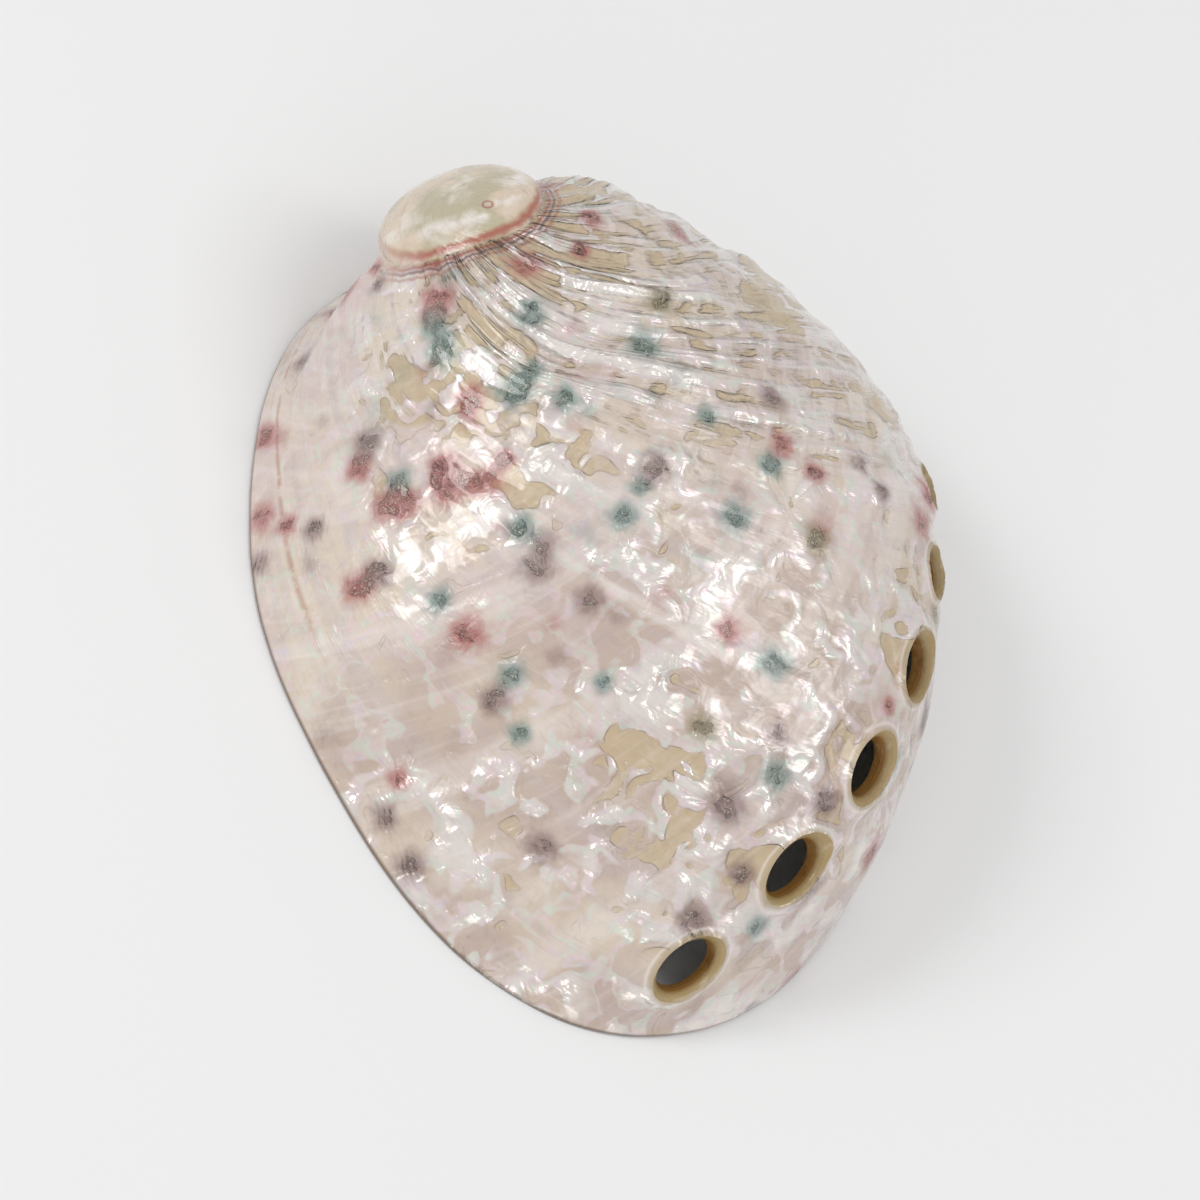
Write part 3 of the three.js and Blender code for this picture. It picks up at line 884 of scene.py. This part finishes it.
def inside_material():
    """Smooth iridescent mother-of-pearl in slow bands of pink, green and silver."""
    g = Graph("pearl_inside")
    age, angle = g.attr("age"), g.attr("angle")
    flow = g.noise(g.vector(g.math("MULTIPLY", age, 2.0), angle), 1.5, 4, 0.55, 1.6)
    colour = g.mix(g.step(flow, 0.24, 0.54), INNER_GREEN, INNER_SILVER)
    colour = g.mix(g.step(flow, 0.46, 0.78), colour, INNER_PINK)
    ripple = g.noise(g.place, 0.12, 4, 0.6, 1.4)
    colour = g.mix(g.math("MULTIPLY", g.step(ripple, 0.5, 0.7), 0.6), colour, INNER_WHITE)
    colour = g.mix(g.math("MULTIPLY", g.step(ripple, 0.42, 0.3), 0.4), colour, INNER_BLUE)
    foot = g.attr("foot")
    wander = g.math("ADD", foot, g.math("MULTIPLY", g.noise(g.place, 0.15, 3), 2.0))
    colour = g.mix(g.math("MULTIPLY", g.step(wander, 3.0, 2.0), 0.8), colour, INNER_FOOT)
    normal = g.bump(g.noise(g.place, 0.16, 3, 0.5, 0.6), 0.0012, 0.7)
    normal = g.bump(g.noise(g.vector(age, g.math("MULTIPLY", angle, 0.1)), 60, 3), 0.0002, 0.6, normal)
    rough = g.math("ADD", 0.18, g.math("MULTIPLY", ripple, 0.12))
    return g.finish(colour, rough, normal, 0.4, 0.08, 0.3)


def edge_material():
    """Cut edges of the wall: thin horny layers, honey brown to cream; the honey brown deeper in the holes
    is partly painted warm shade.
    """
    g = Graph("shell_edge")
    layers = g.noise(g.vector(g.attr("depth"), 0.0), 3.2, 4, 0.6)
    # Honey brown of the hole walls: partly the layers' own colour, partly painted warm shade.
    colour = g.mix(g.step(layers, 0.4, 0.6), SHADED_HONEY, LIGHT_HONEY)
    stains = g.step(g.noise(g.place, 0.4, 3), 0.5, 0.7)
    colour = g.mix(g.math("MULTIPLY", stains, 0.6), colour, DARK_HONEY)
    # Cream at the mouth of each hole, honey brown deeper in: darker deeper in the hole, partly painted
    # shade.
    colour = g.mix(g.step(g.attr("depth"), -1.1, -0.1), colour, EDGE_CREAM)
    normal = g.bump(layers, 0.0003, 0.6)
    normal = g.bump(g.noise(g.place, 0.8, 3), 0.0003, 0.6, normal)
    rough = g.math("ADD", 0.30, g.math("MULTIPLY", g.noise(g.place, 0.7, 2), 0.2))
    return g.finish(colour, rough, normal, 0.35, 0.15)


def finish_shell():
    """Cut the holes, write the values the materials read, and fit the solid's box."""
    outer, inner, columns, values = shell_geometry()
    mesh, verts, flat = build_mesh("shell_visual", outer, inner, columns, values)
    materials = [outside_material(), inside_material(), edge_material()]
    for material in materials:
        mesh.materials.append(material)
    body = bpy.data.objects.new("shell_visual", mesh)
    bpy.context.collection.objects.link(body)
    if mesh_volume(mesh) < 0:
        mesh.flip_normals()

    cutters = []
    for number in range(len(HOLE_LENGTHS)):
        cutter = bpy.data.objects.new("cutter", hole_cutter(number, materials[2]))
        bpy.context.collection.objects.link(cutter)
        cut = body.modifiers.new("cut", "BOOLEAN")
        cut.operation = "DIFFERENCE"
        cut.solver = "EXACT"
        cut.material_mode = "TRANSFER"
        cut.object = cutter
        cutters.append(cutter)
    bpy.context.view_layer.update()
    graph = bpy.context.evaluated_depsgraph_get()
    done = bpy.data.meshes.new_from_object(body.evaluated_get(graph))
    body.modifiers.clear()
    body.data = done
    done.name = "shell_visual"
    for cutter in cutters:
        bpy.data.objects.remove(cutter)

    tree = kdtree.KDTree(len(verts))
    for i, place in enumerate(verts):
        tree.insert(Vector(place), i)
    tree.balance()
    places = np.array([v.co[:] for v in done.vertices])
    source = np.array([tree.find(Vector(p))[1] for p in places])
    lip = np.full(len(places), 9.0)
    depth = np.zeros(len(places))
    for number in range(len(HOLE_LENGTHS)):
        q, _ = hole_distance(places, number)
        closer = q < lip
        lip = np.where(closer, q, lip)
        centre, _, _, out = HOLES[number]
        depth = np.where(closer & (q < 3), (places - centre) @ out, depth)
    seam, dot = spire_lines(places)
    scalars = {
        "age": flat["age"][source],
        "angle": flat["angle"][source],
        "tan": flat["tan"][source],
        "strength": flat["strength"][source],
        "edge": flat["edge"][source],
        "fold": flat["fold"][source],
        "lip": lip,
        "depth": np.where(lip < 3, depth, places[:, 2]),
        "foot": places[:, 2],
        "seam": seam,
        "dot": dot,
    }
    for key, value in scalars.items():
        done.attributes.new(key, "FLOAT", "POINT").data.foreach_set("value", value.astype(np.float32))
    colours = np.concatenate([flat["tint"][source], np.ones((len(places), 1))], 1)
    layer = done.attributes.new("tint", "FLOAT_COLOR", "POINT")
    layer.data.foreach_set("color", colours.astype(np.float32).ravel())

    low, high = (np.array(v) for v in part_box("shell"))
    least, most = places.min(0), places.max(0)
    fitted = low + (places - least) * (high - low) / (most - least)
    done.vertices.foreach_set("co", fitted.astype(np.float32).ravel())
    done.shade_smooth()
    done.set_sharp_from_angle(angle=SHARP_ANGLE)
    done.update()
    return body


def spire_lines(places):
    """Strength of the seam lines round the spire, and distance from the dot at its tip."""
    across = SPIRE_ACROSS - SPIRE_NORMAL * (SPIRE_ACROSS @ SPIRE_NORMAL)
    across /= np.linalg.norm(across)
    rise = np.cross(SPIRE_NORMAL, across)
    offset = places - SPIRE_CENTRE
    x, y = offset @ across, offset @ rise
    turn = np.arctan2(y, x)
    seam = 0.25 + 0.75 * smooth(np.cos(turn - SEAM_HEADING), -0.5, 0.4)
    dot = np.hypot(x - TIP_DOT[0], y - TIP_DOT[1])
    return np.where(np.hypot(x, y) < SEAM_REACH, seam, 0.0), dot


def build_stage():
    """Pale floor, soft lights and the camera."""
    low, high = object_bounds()
    centre = (low + high) / 2

    g = Graph("floor")
    tone = g.mix(g.noise(g.place, 0.004, 3), (0.86, 0.86, 0.86), (0.88, 0.88, 0.88))
    normal = g.bump(g.noise(g.place, 0.6, 2), 0.0001, 0.2)
    material = g.finish(tone, 0.65, normal)
    mesh = bpy.data.meshes.new("floor")
    square = ((-1, -1), (1, -1), (1, 1), (-1, 1))
    corners = [(x * FLOOR_REACH, y * FLOOR_REACH, low.z) for x, y in square]
    mesh.from_pydata(corners, [], [(0, 1, 2, 3)])
    mesh.materials.append(material)
    floor = bpy.data.objects.new("floor", mesh)
    bpy.context.collection.objects.link(floor)

    level = Vector((math.cos(CAMERA_HEADING), math.sin(CAMERA_HEADING), 0))
    away = Vector((level.y, -level.x, 0))
    back = away * math.cos(CAMERA_HEIGHT) + Vector((0, 0, math.sin(CAMERA_HEIGHT)))
    right = level * math.cos(CAMERA_ROLL) + back.cross(level) * math.sin(CAMERA_ROLL)
    up = back.cross(right)
    camera = bpy.data.objects.new("camera", bpy.data.cameras.new("camera"))
    bpy.context.collection.objects.link(camera)
    camera.data.sensor_width = SENSOR_WIDTH
    camera.data.lens = SENSOR_WIDTH * CAMERA_DISTANCE / FRAME_WIDTH
    camera.data.clip_start, camera.data.clip_end = 0.05, 30
    rotation = Matrix((right, up, back)).transposed().to_4x4()
    aim = centre + right * CAMERA_SHIFT[0] + up * CAMERA_SHIFT[1]
    camera.matrix_world = Matrix.Translation(aim + back * CAMERA_DISTANCE) @ rotation
    bpy.context.scene.camera = camera

    for name, (aside, above, toward), light_size, power in SOFT_LIGHTS:
        data = bpy.data.lights.new(name, "AREA")
        data.shape = "RECTANGLE"
        data.size, data.size_y = light_size
        data.energy = power
        lamp = bpy.data.objects.new(name, data)
        bpy.context.collection.objects.link(lamp)
        lamp.location = centre + right * aside + up * above + back * toward
        lamp.rotation_euler = (centre - lamp.location).to_track_quat("-Z", "Y").to_euler()

    world = bpy.data.worlds.new("studio")
    bpy.context.scene.world = world
    world.use_nodes = True
    world.node_tree.nodes["Background"].inputs["Color"].default_value = (1, 1, 1, 1)
    world.node_tree.nodes["Background"].inputs["Strength"].default_value = SKY_LIGHT
    bpy.context.scene.view_settings.view_transform = "Standard"


shell = finish_shell()
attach(shell, "root")
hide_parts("shell")
build_stage()
